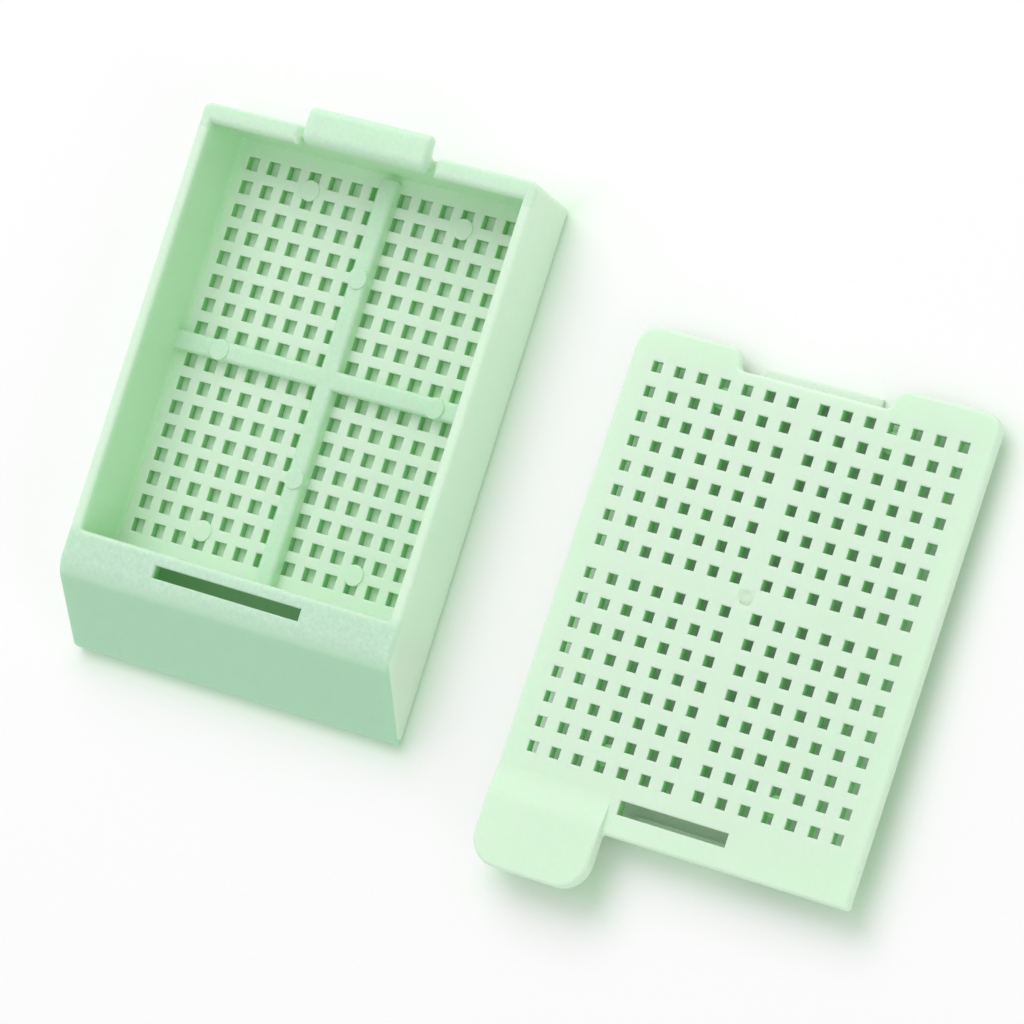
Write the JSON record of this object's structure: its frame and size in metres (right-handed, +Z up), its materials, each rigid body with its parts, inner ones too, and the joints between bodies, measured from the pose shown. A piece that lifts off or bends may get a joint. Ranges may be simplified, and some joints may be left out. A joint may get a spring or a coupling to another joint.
{
  "type": "tissue cassette",
  "caption": "Shallow perforated tray with ribbed compartments, a slanted writing block and a rear stop tongue, with its hooked, perforated lid lying beside it.",
  "frame": {"origin": "on the tray's underside, under the crossing of its two ribs", "axes": "+Z up out of the tray; +Y towards the rear stop tongue, so the writing face looks towards -Y; +X across the tray towards the lid"},
  "size_m": [0.0659, 0.0477, 0.0066],
  "materials": {
    "mint_plastic": "moulded acetal in pale mint green, satin with a very fine grain"
  },
  "bodies": {
    "root": {"cassette_base": "mint_plastic", "cassette_lid": "mint_plastic"}
  },
  "joints": []
}
